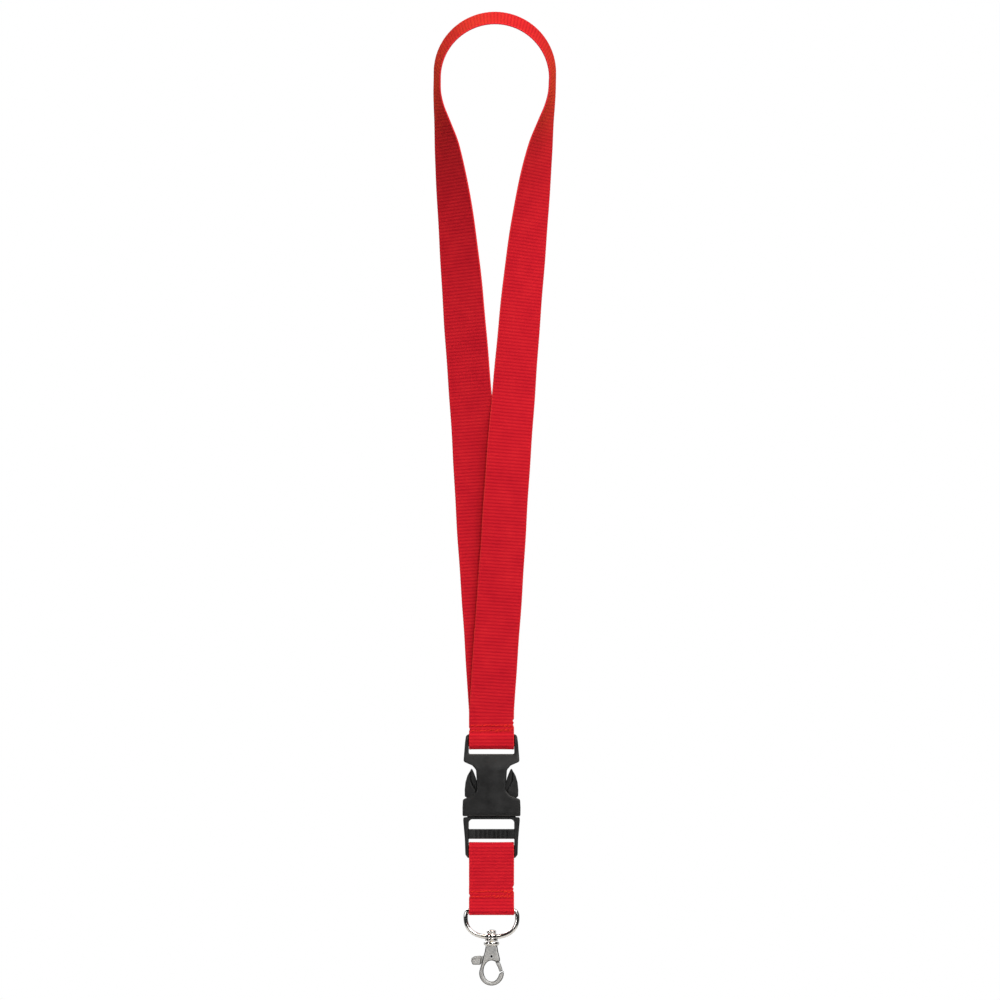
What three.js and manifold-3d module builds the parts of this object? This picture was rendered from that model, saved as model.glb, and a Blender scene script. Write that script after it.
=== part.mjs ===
// A neck lanyard hanging from whatever carries its crown: a sewn loop of 25 mm webbing, a side-release
// buckle, a short sewn strap, a D-ring and a swivelling trigger hook. Millimetres, +Z up, front face
// towards -Y. The origin is on the underside of the crown, straight above the buckle.
import * as THREE from "three";
import { mergeVertices } from "three/addons/utils/BufferGeometryUtils.js";
import Module from "manifold-3d";

const wasm = await Module();
wasm.setup();

// ---------------------------------------------------------------- driving dimensions

const GAP = 0.3; // kept between pieces that touch

// webbing
const WIDTH = 25;
const THICKNESS = 1;
const PITCH = THICKNESS + GAP; // from one stacked layer to the next
const FLEX_GAP = 2; // left open where the webbing flexes between two nodes

// crown: a half circle of webbing, flared to the back and tilted forwards
const CROWN_RADIUS = 32;
const CROWN_FLARE = THREE.MathUtils.degToRad(5.6);
const CROWN_TILT = THREE.MathUtils.degToRad(8);
const CROWN_SHIFT = 1.8; // the crown's middle lies this far to the right of the buckle's
const SHIFT_DECAY = 90;

// strands: depth under the crown's ends, half the distance between their middles, turn from face-on
const STRAND = [
  [0, 32, 84.4],
  [9, 31.6, 79],
  [22, 29.4, 70],
  [40, 25.9, 56],
  [70, 21.7, 41],
  [120, 16.7, 26],
  [190, 10.9, 13],
  [270, 5.6, 4],
  [354, 0, 0],
];
const STRAND_STEPS = 60;
const CROWN_STEPS = 36;
const CROSS_DEPTH = 120; // the right strand has moved in front of the left one by this depth
const BOW_RISE = 0.215; // how the strands swing back under the tilted crown, and die away
const BOW_DECAY = 75;

// heights of the pieces along the plumb line
const NECK_END_Z = -386; // where the strands end and the sewn end begins
const NECK_SEAM_Z = -394; // middle of the upper seam
const MOUTH_Z = -442.9; // the buckle's mouth
const LOWER_SEAM_Z = -486.2; // middle of the lower seam
const D_BAR_Z = -495.4; // the D-ring's straight side
const D_DROP = 14.6; // from its straight side to the lowest wire
const EYE_Z = D_BAR_Z - D_DROP; // the swivel eye's centre, on the wire

// sewn seams: two rows of stitches by one thread
const STITCH_PITCH = 2.3;
const STITCHES = 10;
const ROW_GAP = 3;
const THREAD_RADIUS = 0.25;
const SEWN_BELOW = 2.7; // the layers lie together this far below a seam's middle
const SEWN_ABOVE = 4.8; // and this far above the lower seam's middle

// buckle
const SLOT_HALF = 12.8; // half the width of every webbing slot
const BAR_HEIGHT = 6.6; // the socket's end bar, hidden in the folded webbing
const BAR_HALF_DEPTH = 1.2;
const SOCKET_TOP = 45.7; // above the mouth
const SOCKET_SLOT = [34.6, SOCKET_TOP - BAR_HEIGHT];
const CAVITY_HALF_WIDTH = 13.9;
const CAVITY_HALF_DEPTH = 2.45;
const CAVITY_TOP = 27.2;
const ARM_HALF_DEPTH = 2.1;
const ARM_ROOT = 2;
const PLUG_UPPER_SLOT = [-7.1, -1.8];
const UPPER_SLOT_HALF = 12.5;
const UPPER_SLOT_CORNER = 2.2; // radius of its top corners
const PLUG_BAR = [-12.6, -7.1];
const PLUG_LOWER_SLOT = [-16.3, -12.6];
const PLUG_BOTTOM = -23.2;
const RIBS = 8;
const RIB_PITCH = 2.45;
const RIB_GROOVE_HALF = 0.45;

// D-ring
const D_WIRE = 1.25; // radius of the wire
const D_HALF_WIDTH = 14.35; // to the wire's middle
const D_SHOULDER = 3.4; // height of the corners beside the straight side

// trigger hook, from the wire's middle in the swivel eye
const EYE_BORE = 1.65;
const EYE_RADIUS = 3.7;
const STEM_RADIUS = 1;
const STEM_END = -4.6;
const STEM_HEAD_RADIUS = 1.4;
const COLLAR_RADIUS = 4.3;
const COLLAR = [-4.35, -2.6];
const RIVET_Z = -10.75;
const RIVET_RADIUS = 0.6;
const BOW_Z = -20.1; // centre of the round end
const BOW_RADIUS = 6.75;
const HOOK_EYE = { z: -18.85, halfWidth: 4.4, halfHeight: 5.85, sides: 26 };
const CHEEK_HALF_DEPTH = 2.3;
const CHEEK_BOTTOM = -13.6;
const NOSE_TOP = -18.9; // the gate's tip closes on the nose here
const NOSE_SLANT = 1.25; // the nose falls away inwards, along the path of the gate's tip
const BOW_HALF_DEPTH = 1.5;
const GATE_SLOT_HALF = 0.95;
const GATE_HALF_DEPTH = 0.65;

// ---------------------------------------------------------------- materials

function plain(color, roughness, metalness = 0) {
  return new THREE.MeshStandardMaterial({ color, roughness, metalness });
}

const WEBBING = () => plain(0xc01828, 0.85);
const THREAD = () => plain(0xd83a2a, 0.7);
const ACETAL = () => plain(0x1c1c1e, 0.5);
const NICKEL = () => plain(0xc8c8c6, 0.2, 1);

// ---------------------------------------------------------------- helpers

// A closed three.js geometry as a solid that can be cut and joined.
function solid(geometry) {
  const bare = new THREE.BufferGeometry();
  bare.setAttribute("position", geometry.getAttribute("position"));
  bare.setIndex(geometry.index);
  const merged = mergeVertices(bare, 1e-4);
  const vertProperties = merged.attributes.position.array;
  const triVerts = new Uint32Array(merged.index.array);
  return new wasm.Manifold(new wasm.Mesh({ numProp: 3, vertProperties, triVerts }));
}

// A solid as a named mesh.
function meshOf(name, made, material) {
  const { vertProperties, triVerts } = made.getMesh();
  const geometry = new THREE.BufferGeometry();
  geometry.setAttribute("position", new THREE.BufferAttribute(vertProperties, 3));
  geometry.setIndex(new THREE.BufferAttribute(triVerts, 1));
  geometry.computeVertexNormals();
  const mesh = new THREE.Mesh(geometry, material);
  mesh.name = name;
  mesh.material.flatShading = true;
  return mesh;
}

const joined = (solids) => solids.reduce((all, one) => all.add(one));
const cut = (body, tools) => tools.reduce((left, tool) => left.subtract(tool), body);

const outline = (points) => new THREE.Shape(points.map(([x, y]) => new THREE.Vector2(x, y)));

// A closed outline from its right half, listed from top to bottom.
function mirrored(half) {
  const left = half
    .filter(([x]) => x > 0)
    .map(([x, y]) => [-x, y])
    .reverse();
  return outline([...half, ...left]);
}

// A front outline (x, z) made into a plate that reaches from y = -halfDepth to y = halfDepth.
function plate(shape, halfDepth, bevel = 0) {
  const geometry = new THREE.ExtrudeGeometry(shape, {
    depth: 2 * (halfDepth - bevel),
    curveSegments: 10,
    bevelEnabled: bevel > 0,
    bevelThickness: bevel,
    bevelSize: bevel,
    bevelOffset: -bevel,
    bevelSegments: 1,
  });
  geometry.rotateX(Math.PI / 2);
  geometry.translate(0, halfDepth - bevel, 0);
  return solid(geometry);
}

// A side outline (y, z) made into a bar that reaches from x = -halfWidth to x = halfWidth.
function beam(shape, halfWidth) {
  const geometry = new THREE.ExtrudeGeometry(shape, {
    depth: 2 * halfWidth,
    curveSegments: 10,
    bevelEnabled: false,
  });
  const turn = new THREE.Matrix4().makeBasis(
    new THREE.Vector3(0, 1, 0),
    new THREE.Vector3(0, 0, 1),
    new THREE.Vector3(1, 0, 0),
  );
  geometry.applyMatrix4(turn);
  geometry.translate(-halfWidth, 0, 0);
  return solid(geometry);
}

// A block between opposite corners.
function block([x0, x1], [y0, y1], [z0, z1]) {
  const geometry = new THREE.BoxGeometry(x1 - x0, y1 - y0, z1 - z0);
  geometry.translate((x0 + x1) / 2, (y0 + y1) / 2, (z0 + z1) / 2);
  return solid(geometry);
}

// A round pin along Y.
function pin(radius, [y0, y1], x, z, sides = 16) {
  const geometry = new THREE.CylinderGeometry(radius, radius, y1 - y0, sides);
  geometry.translate(x, (y0 + y1) / 2, z);
  return solid(geometry);
}

// A profile of (radius, z) turned about the Z axis.
function turned(profile, sides = 24) {
  const points = profile.map(([radius, z]) => new THREE.Vector2(radius, z));
  const geometry = new THREE.LatheGeometry(points, sides);
  geometry.rotateX(Math.PI / 2);
  return solid(geometry);
}

// ---------------------------------------------------------------- neck loop

// The crown: its middle circle lies in a plane that leans forwards, and the band flares to the back.
const crownUp = new THREE.Vector3(0, -Math.sin(CROWN_TILT), Math.cos(CROWN_TILT));
const crownBack = new THREE.Vector3(0, Math.cos(CROWN_TILT), Math.sin(CROWN_TILT));
const crownCentre = new THREE.Vector3(CROWN_SHIFT, 0, THICKNESS / 2).addScaledVector(crownUp, -CROWN_RADIUS);

function crownStation(angle) {
  const radial = new THREE.Vector3(Math.cos(angle), 0, 0).addScaledVector(crownUp, Math.sin(angle));
  const middle = crownCentre.clone().addScaledVector(radial, CROWN_RADIUS);
  const across = crownBack
    .clone()
    .multiplyScalar(Math.cos(CROWN_FLARE))
    .addScaledVector(radial, Math.sin(CROWN_FLARE));
  return { middle, across };
}

// A strand: side is 1 for the right one, which passes in front, and -1 for the left one.
function strandStation(side, [depth, half, turnDegrees]) {
  const turn = THREE.MathUtils.degToRad(turnDegrees);
  const full = STRAND.at(-1)[0];
  const drift = CROWN_SHIFT * Math.exp(-depth / SHIFT_DECAY);
  const swing = (crownCentre.y + BOW_RISE * depth) * Math.exp(-depth / BOW_DECAY) * (1 - depth / full);
  const overlap = Math.max(0, WIDTH * Math.cos(turn) - 2 * half);
  const forward = PITCH * Math.min(1, depth / CROSS_DEPTH) + overlap * Math.tan(turn);
  const middle = new THREE.Vector3(
    drift + side * half,
    swing - (side > 0 ? forward : 0),
    crownCentre.z - depth,
  );
  const across = new THREE.Vector3(side * Math.cos(turn), Math.sin(turn), 0);
  return { middle, across };
}

function strandStations(side) {
  const course = new THREE.CatmullRomCurve3(STRAND.map((row) => new THREE.Vector3(...row)));
  const rows = course.getPoints(STRAND_STEPS).map((point) => point.toArray());
  return rows.map((row) => strandStation(side, row));
}

// A long box bent so that it follows the stations, its width along each station's across.
function ribbon(stations) {
  const steps = stations.length - 1;
  const geometry = new THREE.BoxGeometry(WIDTH, THICKNESS, 1, 1, 1, steps);
  const position = geometry.getAttribute("position");
  const frames = stations.map(({ middle, across }, i) => {
    const before = stations[Math.max(0, i - 1)].middle;
    const after = stations[Math.min(steps, i + 1)].middle;
    const along = after.clone().sub(before).normalize();
    const side = across.clone().addScaledVector(along, -across.dot(along)).normalize();
    return { middle, side, face: along.clone().cross(side) };
  });
  for (let i = 0; i < position.count; i += 1) {
    const frame = frames[Math.round((position.getZ(i) + 0.5) * steps)];
    const point = frame.middle
      .clone()
      .addScaledVector(frame.side, position.getX(i))
      .addScaledVector(frame.face, position.getY(i));
    position.setXYZ(i, ...point);
  }
  return solid(geometry);
}

function neckStrap() {
  const left = strandStations(-1).reverse();
  const right = strandStations(1);
  const crown = [];
  for (let i = 1; i < CROWN_STEPS; i += 1) crown.push(crownStation(Math.PI * (1 - i / CROWN_STEPS)));
  return ribbon([...left, ...crown, ...right]);
}

// ---------------------------------------------------------------- sewn ends

// Where the needle goes through a sewn block: two rows of (x, z) about a height.
function needlePlaces(z) {
  const places = [];
  for (const row of [z + ROW_GAP / 2, z - ROW_GAP / 2]) {
    for (let i = 0; i <= STITCHES; i += 1) places.push([(i - STITCHES / 2) * STITCH_PITCH, row]);
  }
  return places;
}

function needleHoles(z) {
  const half = THREAD_RADIUS + GAP;
  return needlePlaces(z).map(([px, pz]) => block([px - half, px + half], [-9, 9], [pz - half, pz + half]));
}

// The thread of a seam: stitches on both faces of the sewn layers, and the thread through each needle hole.
function seamThread(z) {
  const r = THREAD_RADIUS;
  const face = 1.5 * PITCH + GAP; // from the middle of three layers to the stitches' middle
  const through = needlePlaces(z).map(([px, pz]) => pin(r, [-face, face], px, pz, 8));
  const end = (STITCHES * STITCH_PITCH) / 2;
  const rows = [z + ROW_GAP / 2, z - ROW_GAP / 2];
  const line = (y, row) => block([-end - r, end + r], [y - r, y + r], [row - r, row + r]);
  const lines = [-face, face].flatMap((y) => rows.map((row) => line(y, row)));
  const turn = block([end - r, end + r], [face - r, face + r], [z - ROW_GAP / 2, z + ROW_GAP / 2]);
  return joined([...lines, turn, ...through]);
}

// An arc of points about (y, z), from one angle to another in degrees.
function arc(y, z, radius, from, to, steps = 12) {
  const points = [];
  for (let i = 0; i <= steps; i += 1) {
    const angle = THREE.MathUtils.degToRad(from + ((to - from) * i) / steps);
    points.push([y + radius * Math.cos(angle), z + radius * Math.sin(angle)]);
  }
  return points;
}

const SEWN_HALF = 1.5 * PITCH - GAP / 2; // half the thickness of three sewn layers
const LOOP_INNER = BAR_HALF_DEPTH + GAP; // inside of the webbing folded round a bar
const LOOP_OUTER = LOOP_INNER + THICKNESS;
const FOLD_ROOM = 1; // between a bar's edge and the fold's inside

// The upper end: three sewn layers over the loop round the socket's bar.
function neckStrapEnd() {
  const top = NECK_END_Z - FLEX_GAP;
  const sewn = NECK_SEAM_Z - SEWN_BELOW;
  const widest = sewn - 1.4;
  const round = MOUTH_Z + SOCKET_SLOT[1] - FOLD_ROOM + LOOP_INNER; // centre of the fold
  const side = outline([
    [SEWN_HALF, top],
    [-SEWN_HALF, top],
    [-SEWN_HALF, sewn + 1],
    [-LOOP_OUTER, widest],
    ...arc(0, round, LOOP_OUTER, 180, 360),
    [LOOP_OUTER, widest],
    [SEWN_HALF, sewn + 1],
  ]);
  const inner = SEWN_HALF - THICKNESS;
  side.holes.push(
    outline([
      [inner, sewn],
      [LOOP_INNER, widest],
      ...arc(0, round, LOOP_INNER, 360, 180),
      [-LOOP_INNER, widest],
      [-inner, sewn],
    ]),
  );
  return cut(beam(side, WIDTH / 2), needleHoles(NECK_SEAM_Z));
}

const FOLD_TOP = MOUTH_Z + PLUG_LOWER_SLOT[0] + FOLD_ROOM; // inside of the fold over the plug's end bar
const FOLD_END = FOLD_TOP - 10.5; // where the lower strap's flex begins
const FLEX_OUTER = LOOP_OUTER - 0.15; // half the strap's thickness there

// The lower strap's top: webbing folded over the plug's end bar.
function lowerStrapFold() {
  const round = FOLD_TOP - LOOP_INNER;
  return beam(
    outline([
      ...arc(0, round, LOOP_OUTER, 0, 180),
      [-FLEX_OUTER, FOLD_END],
      [THICKNESS - FLEX_OUTER, FOLD_END],
      ...arc(0, round, LOOP_INNER, 180, 0),
      [FLEX_OUTER - THICKNESS, FOLD_END],
      [FLEX_OUTER, FOLD_END],
    ]),
    WIDTH / 2,
  );
}

// The lower strap: two layers, three where they are sewn, and the loop round the D-ring's straight side.
function lowerStrap() {
  const top = FOLD_END - FLEX_GAP;
  const sewnTop = LOWER_SEAM_Z + SEWN_ABOVE;
  const sewn = LOWER_SEAM_Z - SEWN_BELOW;
  const inner = SEWN_HALF - THICKNESS;
  const bore = D_WIRE + GAP;
  const shell = bore + THICKNESS;
  const side = outline([
    [FLEX_OUTER, top],
    [FLEX_OUTER - THICKNESS, top],
    [inner, sewnTop],
    [-inner, sewnTop],
    [THICKNESS - FLEX_OUTER, top],
    [-FLEX_OUTER, top],
    [-SEWN_HALF, sewnTop],
    [-SEWN_HALF, sewn],
    ...arc(0, D_BAR_Z, shell, 165, 375, 16),
    [SEWN_HALF, sewn],
    [SEWN_HALF, sewnTop],
  ]);
  side.holes.push(outline(arc(0, D_BAR_Z, bore, 0, 345, 23)));
  return cut(beam(side, WIDTH / 2), needleHoles(LOWER_SEAM_Z));
}

// ---------------------------------------------------------------- buckle, measured from its mouth

// Front outline of the socket: frame, waist between the side windows, and mouth block.
const SOCKET_HALF = [
  [0, SOCKET_TOP],
  [13, SOCKET_TOP],
  [14, SOCKET_TOP - 0.4],
  [14.6, SOCKET_TOP - 1.7],
  [15.4, 33.5],
  [15.1, 31],
  [13.8, 29.3],
  [10.6, 28.4],
  [9.1, 27.4],
  [8.3, 25.6],
  [8.3, 15.2],
  [8.8, 13.2],
  [10.2, 11.4],
  [15.6, 9.3],
  [16.1, 8.5],
  [16.1, 0.6],
  [15.7, 0],
  [0, 0],
];

function buckleSocket() {
  const side = mirrored([
    [0, SOCKET_TOP],
    [0.6, SOCKET_TOP],
    [1.2, SOCKET_TOP - 0.8],
    [1.9, SOCKET_TOP - 2],
    [2, 35],
    [3.3, 30.5],
    [3.9, 24],
    [3.9, 0.5],
    [3.6, 0],
    [0, 0],
  ]);
  const body = plate(mirrored(SOCKET_HALF), 4).intersect(beam(side, 20));
  const slotX = [-SLOT_HALF, SLOT_HALF];
  const barZ = [SOCKET_SLOT[1], SOCKET_TOP + 1];
  return cut(body, [
    block(slotX, [-5, 5], SOCKET_SLOT),
    block(slotX, [-5, -BAR_HALF_DEPTH], [barZ[0] - 1, barZ[1]]),
    block(slotX, [BAR_HALF_DEPTH, 5], [barZ[0] - 1, barZ[1]]),
    block([-CAVITY_HALF_WIDTH, CAVITY_HALF_WIDTH], [-CAVITY_HALF_DEPTH, CAVITY_HALF_DEPTH], [-1, CAVITY_TOP]),
  ]);
}

// The right arm of the plug; the left one is its mirror image.
function buckleArm() {
  const shape = outline([
    [10.8, ARM_ROOT],
    [13.4, ARM_ROOT],
    [13.4, 10.2],
    [14.5, 10.5],
    [14.8, 11.7],
    [14.5, 18.3],
    [13, 22.6],
    [10.7, 26.6],
    [10.1, 26.2],
    [9.2, 24],
    [7.7, 21],
    [7.5, 15],
    [9.4, 11],
    [10.6, 7],
  ]);
  return plate(shape, ARM_HALF_DEPTH, 0.4);
}

// The plug's upper slot, with round top corners.
function upperSlot() {
  const [bottom, top] = PLUG_UPPER_SLOT;
  const corner = UPPER_SLOT_HALF - UPPER_SLOT_CORNER;
  const shape = new THREE.Shape();
  shape.moveTo(-UPPER_SLOT_HALF, bottom);
  shape.lineTo(UPPER_SLOT_HALF, bottom);
  shape.absarc(corner, top - UPPER_SLOT_CORNER, UPPER_SLOT_CORNER, 0, Math.PI / 2);
  shape.absarc(-corner, top - UPPER_SLOT_CORNER, UPPER_SLOT_CORNER, Math.PI / 2, Math.PI);
  return plate(shape, 5);
}

function bucklePlug() {
  const front = mirrored([
    [0, -0.5],
    [15.6, -0.5],
    [15.8, -1.2],
    [14.9, -12.5],
    [14.5, -20.8],
    [13.9, -22.4],
    [12.6, PLUG_BOTTOM],
    [0, PLUG_BOTTOM],
  ]);
  const side = mirrored([
    [0, -0.5],
    [2.6, -0.5],
    [2.5, -12.5],
    [1.9, -21.2],
    [1.2, PLUG_BOTTOM + 0.8],
    [0.6, PLUG_BOTTOM],
    [0, PLUG_BOTTOM],
  ]);
  const frame = plate(front, 4).intersect(beam(side, 20));
  const slotX = [-SLOT_HALF, SLOT_HALF];
  const through = [-5, 5];
  const grooves = [];
  for (let i = 0; i < RIBS; i += 1) {
    const x = (i - (RIBS - 1) / 2) * RIB_PITCH;
    const grooveX = [x - RIB_GROOVE_HALF, x + RIB_GROOVE_HALF];
    grooves.push(block(grooveX, [-5, -1.3], [PLUG_BAR[0] - 1, PLUG_BAR[1] + 1]));
  }
  const barZ = [PLUG_BOTTOM - 1, PLUG_LOWER_SLOT[0] + 1];
  const cutFrame = cut(frame, [
    upperSlot(),
    block(slotX, through, PLUG_LOWER_SLOT),
    block(slotX, [-5, -1.8], PLUG_BAR),
    block(slotX, [1.8, 5], PLUG_BAR),
    block(slotX, [-5, -BAR_HALF_DEPTH], barZ),
    block(slotX, [BAR_HALF_DEPTH, 5], barZ),
    ...grooves,
  ]);
  const neckY = [-ARM_HALF_DEPTH, ARM_HALF_DEPTH];
  const neck = block([-13.5, 13.5], neckY, [PLUG_UPPER_SLOT[1], ARM_ROOT - GAP]);
  const tongue = block([-3.2, 3.2], [-1.5, 1.5], [0, 18]);
  return joined([cutFrame, neck, tongue]);
}

// ---------------------------------------------------------------- D-ring, measured from its straight side

// The wire starts and ends in the middle of the straight side, inside the webbing, where its ends butt.
function dRing() {
  const corner = 2;
  const drop = D_DROP - D_SHOULDER;
  const squareness = 2 / 2.4;
  const half = [[GAP / 2, 0]];
  for (let i = 1; i <= 5; i += 1) half.push([(i / 5) * (D_HALF_WIDTH - corner), 0]);
  for (let i = 1; i <= 4; i += 1) {
    const angle = (i / 4) * (Math.PI / 2);
    half.push([D_HALF_WIDTH - corner + corner * Math.sin(angle), -D_SHOULDER * (1 - Math.cos(angle))]);
  }
  for (let i = 1; i <= 14; i += 1) {
    const angle = (i / 14) * (Math.PI / 2);
    const x = D_HALF_WIDTH * Math.cos(angle) ** squareness;
    half.push([x, -D_SHOULDER - drop * Math.sin(angle) ** squareness]);
  }
  const left = half
    .slice(0, -1)
    .map(([x, z]) => [-x, z])
    .reverse();
  const path = new THREE.CatmullRomCurve3([...half, ...left].map(([x, z]) => new THREE.Vector3(x, 0, z)));
  const section = new THREE.Shape().absarc(0, 0, D_WIRE, 0, 2 * Math.PI);
  const geometry = new THREE.ExtrudeGeometry(section, {
    steps: 72,
    curveSegments: 5,
    extrudePath: path,
    bevelEnabled: false,
  });
  return solid(geometry);
}

// ---------------------------------------------------------------- trigger hook, from the D-ring's wire

function swivelEye() {
  const head = turned([
    [0, STEM_END - 0.5],
    [STEM_HEAD_RADIUS, STEM_END - 0.5],
    [STEM_HEAD_RADIUS, STEM_END + 0.3],
    [STEM_RADIUS, STEM_END + 0.3],
    [STEM_RADIUS, -2.3],
    [3.3, -2.3],
    [EYE_RADIUS, -1.5],
    [EYE_RADIUS, 0.6],
    [3.2, 1.7],
    [2.7, 2.2],
    [2.6, 3.2],
    [1.7, 4],
    [0, 4.1],
  ]);
  const bore = beam(outline(arc(0, 0, EYE_BORE, 0, 345, 23)), 6);
  return head.subtract(bore);
}

// The hook's side from the collar to the bottom of its thick part.
const HOOK_SHOULDER = [
  [3.05, COLLAR[0]],
  [3.75, -8],
  [4.45, -10.7],
  [5.2, CHEEK_BOTTOM],
];

// Front outline of the hook without its opening.
function hookOutline() {
  return mirrored([
    [0, COLLAR[0]],
    ...HOOK_SHOULDER,
    [6.1, -16.6],
    ...arc(0, BOW_Z, BOW_RADIUS, 18, -90, 15).slice(0, -1),
    [0, BOW_Z - BOW_RADIUS],
  ]);
}

function hookOpening() {
  const { z, halfWidth, halfHeight, sides } = HOOK_EYE;
  const points = [];
  for (let i = 0; i < sides; i += 1) {
    const angle = (2 * Math.PI * i) / sides;
    points.push([halfWidth * Math.cos(angle), z + halfHeight * Math.sin(angle)]);
  }
  return plate(outline(points), 5);
}

function hookBody() {
  const bow = plate(hookOutline(), BOW_HALF_DEPTH, 0.5);
  const cheek = plate(
    mirrored([
      [0, COLLAR[0]],
      ...HOOK_SHOULDER,
      [0, CHEEK_BOTTOM],
    ]),
    CHEEK_HALF_DEPTH,
    0.5,
  );
  const collar = turned([
    [0, COLLAR[0] - 0.6],
    [3, COLLAR[0] - 0.6],
    [COLLAR_RADIUS - 0.3, COLLAR[0]],
    [COLLAR_RADIUS, COLLAR[0] + 0.5],
    [COLLAR_RADIUS, COLLAR[1] - 0.4],
    [COLLAR_RADIUS - 0.3, COLLAR[1]],
    [0, COLLAR[1]],
  ]);
  const stemBore = turned([
    [0, STEM_END - 1],
    [STEM_HEAD_RADIUS + GAP, STEM_END - 1],
    [STEM_HEAD_RADIUS + GAP, STEM_END + 0.6],
    [STEM_RADIUS + GAP, STEM_END + 0.6],
    [STEM_RADIUS + GAP, -1],
    [0, -1],
  ]);
  const gateWay = plate(
    outline([
      [1, CHEEK_BOTTOM],
      [9, CHEEK_BOTTOM],
      [9, NOSE_TOP],
      [6.6, NOSE_TOP],
      [4.4, NOSE_TOP - NOSE_SLANT],
      [1, NOSE_TOP - NOSE_SLANT],
    ]),
    5,
  );
  const slotY = [-GATE_SLOT_HALF, GATE_SLOT_HALF];
  return cut(joined([bow, cheek, collar]), [
    stemBore,
    hookOpening(),
    gateWay,
    block([-9, 9], slotY, [-15.9, -7.2]),
    pin(RIVET_RADIUS + GAP, [-5, 5], 0, RIVET_Z),
  ]);
}

function hookGate() {
  const web = plate(
    outline([
      [-6.2, -10.9],
      [-1.6, -9.4],
      [1.2, -8.9],
      [2.6, -10],
      [4.6, CHEEK_BOTTOM - 1],
      [3, CHEEK_BOTTOM - 1.2],
      [1.2, -13],
      [-1.6, -13],
      [-6.2, -15.2],
    ]),
    GATE_HALF_DEPTH,
  );
  const arm = plate(
    outline([
      [2.1, CHEEK_BOTTOM - GAP],
      [4.7, CHEEK_BOTTOM - GAP],
      [6.3, NOSE_TOP + GAP],
      [4.5, NOSE_TOP + GAP],
      [3.6, -16.9],
      [2.6, -14.9],
    ]),
    BOW_HALF_DEPTH - 0.1,
    0.3,
  );
  const lever = plate(
    outline([
      [-5.8, -10.8],
      [-5.8, CHEEK_BOTTOM],
      [-6.1, -15.3],
      [-10.4, -15.3],
      [-11.2, -14.4],
      [-11.2, -12],
      [-10.2, -10.9],
    ]),
    1.3,
    0.4,
  );
  const pocket = pin(1.9, [-0.05, 5], 0, RIVET_Z, 20);
  return cut(joined([web, arm, lever]), [pin(RIVET_RADIUS + GAP, [-5, 5], 0, RIVET_Z), pocket]);
}

function gateRivet() {
  return pin(RIVET_RADIUS, [-CHEEK_HALF_DEPTH + 0.25, CHEEK_HALF_DEPTH - 0.25], 0, RIVET_Z);
}

function gateSpring() {
  const coil = pin(1.55, [0.28, 0.85], 0, RIVET_Z, 20);
  return coil.subtract(pin(RIVET_RADIUS + GAP, [-5, 5], 0, RIVET_Z, 20));
}

// ---------------------------------------------------------------- assembly

const lanyard = new THREE.Group();
lanyard.add(
  meshOf("neck_strap", neckStrap(), WEBBING()),
  meshOf("neck_strap_sewn_end", neckStrapEnd(), WEBBING()),
  meshOf("neck_seam_thread", seamThread(NECK_SEAM_Z), THREAD()),
  meshOf("lower_strap_fold", lowerStrapFold(), WEBBING()),
  meshOf("lower_strap", lowerStrap(), WEBBING()),
  meshOf("lower_seam_thread", seamThread(LOWER_SEAM_Z), THREAD()),
);

const buckle = new THREE.Group();
buckle.position.z = MOUTH_Z;
const rightArm = meshOf("buckle_right_arm", buckleArm(), ACETAL());
const leftArm = meshOf("buckle_left_arm", buckleArm(), ACETAL());
leftArm.rotation.z = Math.PI; // the arm is alike front and back, so half a turn mirrors it
buckle.add(
  meshOf("buckle_socket", buckleSocket(), ACETAL()),
  meshOf("buckle_plug", bucklePlug(), ACETAL()),
  rightArm,
  leftArm,
);

const ring = meshOf("d_ring", dRing(), NICKEL());
ring.position.z = D_BAR_Z;

const hook = new THREE.Group();
hook.position.z = EYE_Z;
hook.add(
  meshOf("swivel_eye", swivelEye(), NICKEL()),
  meshOf("hook_body", hookBody(), NICKEL()),
  meshOf("hook_gate", hookGate(), NICKEL()),
  meshOf("gate_rivet", gateRivet(), NICKEL()),
  meshOf("gate_spring", gateSpring(), NICKEL()),
);

lanyard.add(buckle, ring, hook);

export default lanyard;
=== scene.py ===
"""Looks of the neck lanyard: ribbed red webbing, sewn seams, moulded black buckle and nickel-plated
D-ring and trigger hook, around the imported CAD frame. Lengths in the building code are millimetres."""

import math

import bmesh
import bpy
import numpy as np
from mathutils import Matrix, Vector
from mathutils.geometry import delaunay_2d_cdt


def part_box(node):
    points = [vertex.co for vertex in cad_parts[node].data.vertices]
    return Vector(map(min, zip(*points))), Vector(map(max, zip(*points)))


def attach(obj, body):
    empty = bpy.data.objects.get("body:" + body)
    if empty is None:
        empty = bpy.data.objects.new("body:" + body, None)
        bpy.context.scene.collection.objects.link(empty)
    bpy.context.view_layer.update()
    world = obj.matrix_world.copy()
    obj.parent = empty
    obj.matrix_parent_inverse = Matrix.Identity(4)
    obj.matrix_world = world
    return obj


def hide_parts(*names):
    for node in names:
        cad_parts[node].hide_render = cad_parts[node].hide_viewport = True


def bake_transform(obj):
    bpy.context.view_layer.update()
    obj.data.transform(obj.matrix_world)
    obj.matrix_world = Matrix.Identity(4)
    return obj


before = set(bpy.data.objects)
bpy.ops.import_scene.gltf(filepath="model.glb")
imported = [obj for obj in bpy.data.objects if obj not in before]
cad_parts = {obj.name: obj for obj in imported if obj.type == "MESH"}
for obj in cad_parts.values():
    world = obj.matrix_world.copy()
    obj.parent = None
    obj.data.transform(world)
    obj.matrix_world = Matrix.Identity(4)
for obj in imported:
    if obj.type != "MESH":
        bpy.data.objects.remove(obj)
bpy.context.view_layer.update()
MM = 0.001

# ------------------------------------------------------------------ heights taken from the CAD nodes


def low(node):
    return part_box(node)[0].z / MM


def high(node):
    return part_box(node)[1].z / MM


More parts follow.
